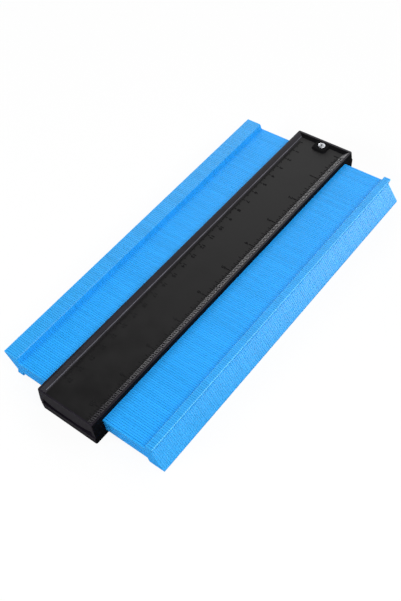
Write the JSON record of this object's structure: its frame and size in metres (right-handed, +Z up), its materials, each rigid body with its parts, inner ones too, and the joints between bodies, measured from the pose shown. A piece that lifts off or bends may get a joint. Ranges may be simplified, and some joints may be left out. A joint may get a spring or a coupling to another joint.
{
  "type": "contour gauge",
  "caption": "Contour gauge: a slim black two-shell body clamping a long stack of thin blue plastic fins that slide sideways to copy a profile.",
  "frame": {"origin": "centre of the gauge's footprint on the plane it rests on, which is the plane of the lower frame's rim", "axes": "+Z up out of the upper frame's scale panel, +Y along the fin stack towards the end whose screw is on top, +X the way the fins slide"},
  "size_m": [0.1308, 0.2766, 0.019],
  "materials": {
    "frame_black": "moulded black ABS, satin",
    "fin_blue": "moulded sky-blue ABS, satin",
    "screw_zinc": "bright zinc plating"
  },
  "bodies": {
    "body": {"upper_frame": "frame_black", "lower_frame": "frame_black", "far_screw": "screw_zinc", "near_screw": "screw_zinc"},
    "fins_01": {"fin_bank_01": "fin_blue"},
    "fins_02": {"fin_bank_02": "fin_blue"},
    "fins_03": {"fin_bank_03": "fin_blue"},
    "fins_04": {"fin_bank_04": "fin_blue"},
    "fins_05": {"fin_bank_05": "fin_blue"},
    "fins_06": {"fin_bank_06": "fin_blue"},
    "fins_07": {"fin_bank_07": "fin_blue"},
    "fins_08": {"fin_bank_08": "fin_blue"},
    "fins_09": {"fin_bank_09": "fin_blue"},
    "fins_10": {"fin_bank_10": "fin_blue"},
    "fins_11": {"fin_bank_11": "fin_blue"},
    "fins_12": {"fin_bank_12": "fin_blue"},
    "fins_13": {"fin_bank_13": "fin_blue"},
    "fins_14": {"fin_bank_14": "fin_blue"},
    "fins_15": {"fin_bank_15": "fin_blue"},
    "fins_16": {"fin_bank_16": "fin_blue"},
    "fins_17": {"fin_bank_17": "fin_blue"},
    "fins_18": {"fin_bank_18": "fin_blue"},
    "fins_19": {"fin_bank_19": "fin_blue"},
    "fins_20": {"fin_bank_20": "fin_blue"},
    "fins_21": {"fin_bank_21": "fin_blue"},
    "fins_22": {"fin_bank_22": "fin_blue"},
    "fins_23": {"fin_bank_23": "fin_blue"},
    "fins_24": {"fin_bank_24": "fin_blue"},
    "fins_25": {"fin_bank_25": "fin_blue"},
    "fins_26": {"fin_bank_26": "fin_blue"},
    "fins_27": {"fin_bank_27": "fin_blue"},
    "fins_28": {"fin_bank_28": "fin_blue"},
    "fins_29": {"fin_bank_29": "fin_blue"},
    "fins_30": {"fin_bank_30": "fin_blue"},
    "fins_31": {"fin_bank_31": "fin_blue"},
    "fins_32": {"fin_bank_32": "fin_blue"},
    "fins_33": {"fin_bank_33": "fin_blue"},
    "fins_34": {"fin_bank_34": "fin_blue"},
    "fins_35": {"fin_bank_35": "fin_blue"},
    "fins_36": {"fin_bank_36": "fin_blue"},
    "fins_37": {"fin_bank_37": "fin_blue"},
    "fins_38": {"fin_bank_38": "fin_blue"},
    "fins_39": {"fin_bank_39": "fin_blue"},
    "fins_40": {"fin_bank_40": "fin_blue"},
    "fins_41": {"fin_bank_41": "fin_blue"},
    "fins_42": {"fin_bank_42": "fin_blue"},
    "fins_43": {"fin_bank_43": "fin_blue"}
  },
  "joints": [
    {"name": "fins_01_slide", "type": "slide", "parent": "body", "child": "fins_01", "axis": [1, 0, 0], "range_m": [-0.03228, 0.02552]},
    {"name": "fins_02_slide", "type": "slide", "parent": "body", "child": "fins_02", "axis": [1, 0, 0], "range_m": [-0.03223, 0.02557]},
    {"name": "fins_03_slide", "type": "slide", "parent": "body", "child": "fins_03", "axis": [1, 0, 0], "range_m": [-0.03218, 0.02562]},
    {"name": "fins_04_slide", "type": "slide", "parent": "body", "child": "fins_04", "axis": [1, 0, 0], "range_m": [-0.03214, 0.02566]},
    {"name": "fins_05_slide", "type": "slide", "parent": "body", "child": "fins_05", "axis": [1, 0, 0], "range_m": [-0.03209, 0.02571]},
    {"name": "fins_06_slide", "type": "slide", "parent": "body", "child": "fins_06", "axis": [1, 0, 0], "range_m": [-0.03204, 0.02576]},
    {"name": "fins_07_slide", "type": "slide", "parent": "body", "child": "fins_07", "axis": [1, 0, 0], "range_m": [-0.032, 0.0258]},
    {"name": "fins_08_slide", "type": "slide", "parent": "body", "child": "fins_08", "axis": [1, 0, 0], "range_m": [-0.03195, 0.02585]},
    {"name": "fins_09_slide", "type": "slide", "parent": "body", "child": "fins_09", "axis": [1, 0, 0], "range_m": [-0.0319, 0.0259]},
    {"name": "fins_10_slide", "type": "slide", "parent": "body", "child": "fins_10", "axis": [1, 0, 0], "range_m": [-0.03186, 0.02594]},
    {"name": "fins_11_slide", "type": "slide", "parent": "body", "child": "fins_11", "axis": [1, 0, 0], "range_m": [-0.03181, 0.02599]},
    {"name": "fins_12_slide", "type": "slide", "parent": "body", "child": "fins_12", "axis": [1, 0, 0], "range_m": [-0.03177, 0.02603]},
    {"name": "fins_13_slide", "type": "slide", "parent": "body", "child": "fins_13", "axis": [1, 0, 0], "range_m": [-0.03172, 0.02608]},
    {"name": "fins_14_slide", "type": "slide", "parent": "body", "child": "fins_14", "axis": [1, 0, 0], "range_m": [-0.03167, 0.02613]},
    {"name": "fins_15_slide", "type": "slide", "parent": "body", "child": "fins_15", "axis": [1, 0, 0], "range_m": [-0.03163, 0.02617]},
    {"name": "fins_16_slide", "type": "slide", "parent": "body", "child": "fins_16", "axis": [1, 0, 0], "range_m": [-0.03158, 0.02622]},
    {"name": "fins_17_slide", "type": "slide", "parent": "body", "child": "fins_17", "axis": [1, 0, 0], "range_m": [-0.03153, 0.02627]},
    {"name": "fins_18_slide", "type": "slide", "parent": "body", "child": "fins_18", "axis": [1, 0, 0], "range_m": [-0.03149, 0.02631]},
    {"name": "fins_19_slide", "type": "slide", "parent": "body", "child": "fins_19", "axis": [1, 0, 0], "range_m": [-0.03144, 0.02636]},
    {"name": "fins_20_slide", "type": "slide", "parent": "body", "child": "fins_20", "axis": [1, 0, 0], "range_m": [-0.03139, 0.02641]},
    {"name": "fins_21_slide", "type": "slide", "parent": "body", "child": "fins_21", "axis": [1, 0, 0], "range_m": [-0.03135, 0.02645]},
    {"name": "fins_22_slide", "type": "slide", "parent": "body", "child": "fins_22", "axis": [1, 0, 0], "range_m": [-0.0313, 0.0265]},
    {"name": "fins_23_slide", "type": "slide", "parent": "body", "child": "fins_23", "axis": [1, 0, 0], "range_m": [-0.03125, 0.02655]},
    {"name": "fins_24_slide", "type": "slide", "parent": "body", "child": "fins_24", "axis": [1, 0, 0], "range_m": [-0.03121, 0.02659]},
    {"name": "fins_25_slide", "type": "slide", "parent": "body", "child": "fins_25", "axis": [1, 0, 0], "range_m": [-0.03116, 0.02664]},
    {"name": "fins_26_slide", "type": "slide", "parent": "body", "child": "fins_26", "axis": [1, 0, 0], "range_m": [-0.03111, 0.02669]},
    {"name": "fins_27_slide", "type": "slide", "parent": "body", "child": "fins_27", "axis": [1, 0, 0], "range_m": [-0.03107, 0.02673]},
    {"name": "fins_28_slide", "type": "slide", "parent": "body", "child": "fins_28", "axis": [1, 0, 0], "range_m": [-0.03102, 0.02678]},
    {"name": "fins_29_slide", "type": "slide", "parent": "body", "child": "fins_29", "axis": [1, 0, 0], "range_m": [-0.03097, 0.02683]},
    {"name": "fins_30_slide", "type": "slide", "parent": "body", "child": "fins_30", "axis": [1, 0, 0], "range_m": [-0.03093, 0.02687]},
    {"name": "fins_31_slide", "type": "slide", "parent": "body", "child": "fins_31", "axis": [1, 0, 0], "range_m": [-0.03088, 0.02692]},
    {"name": "fins_32_slide", "type": "slide", "parent": "body", "child": "fins_32", "axis": [1, 0, 0], "range_m": [-0.03083, 0.02697]},
    {"name": "fins_33_slide", "type": "slide", "parent": "body", "child": "fins_33", "axis": [1, 0, 0], "range_m": [-0.03079, 0.02701]},
    {"name": "fins_34_slide", "type": "slide", "parent": "body", "child": "fins_34", "axis": [1, 0, 0], "range_m": [-0.03074, 0.02706]},
    {"name": "fins_35_slide", "type": "slide", "parent": "body", "child": "fins_35", "axis": [1, 0, 0], "range_m": [-0.0307, 0.0271]},
    {"name": "fins_36_slide", "type": "slide", "parent": "body", "child": "fins_36", "axis": [1, 0, 0], "range_m": [-0.03065, 0.02715]},
    {"name": "fins_37_slide", "type": "slide", "parent": "body", "child": "fins_37", "axis": [1, 0, 0], "range_m": [-0.0306, 0.0272]},
    {"name": "fins_38_slide", "type": "slide", "parent": "body", "child": "fins_38", "axis": [1, 0, 0], "range_m": [-0.03056, 0.02724]},
    {"name": "fins_39_slide", "type": "slide", "parent": "body", "child": "fins_39", "axis": [1, 0, 0], "range_m": [-0.03051, 0.02729]},
    {"name": "fins_40_slide", "type": "slide", "parent": "body", "child": "fins_40", "axis": [1, 0, 0], "range_m": [-0.03046, 0.02734]},
    {"name": "fins_41_slide", "type": "slide", "parent": "body", "child": "fins_41", "axis": [1, 0, 0], "range_m": [-0.03042, 0.02738]},
    {"name": "fins_42_slide", "type": "slide", "parent": "body", "child": "fins_42", "axis": [1, 0, 0], "range_m": [-0.03037, 0.02743]},
    {"name": "fins_43_slide", "type": "slide", "parent": "body", "child": "fins_43", "axis": [1, 0, 0], "range_m": [-0.03032, 0.02748]}
  ]
}
